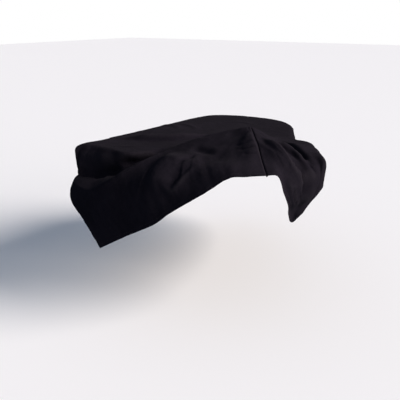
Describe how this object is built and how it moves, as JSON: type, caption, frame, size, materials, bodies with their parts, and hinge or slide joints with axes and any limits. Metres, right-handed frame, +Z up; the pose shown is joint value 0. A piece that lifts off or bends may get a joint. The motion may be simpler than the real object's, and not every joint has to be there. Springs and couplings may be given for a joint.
{
  "type": "fitted grand piano cover",
  "caption": "Fitted black cloth cover for a grand piano, its top over the lid, its side drops hanging and its front treble corner thrown back off the keys.",
  "frame": {"origin": "on the piano lid under the cover's top, at the mount lid_seat", "axes": "+X towards the treble side, +Y towards the tail, +Z up"},
  "size_m": [1.6466, 1.8426, 0.7927],
  "materials": {
    "cover_cloth": "black woven cotton cloth, matt with a soft sheen"
  },
  "bodies": {
    "root": {"top_panel": "cover_cloth", "front_drop": "cover_cloth", "treble_drop": "cover_cloth", "bass_drop": "cover_cloth"}
  },
  "joints": []
}
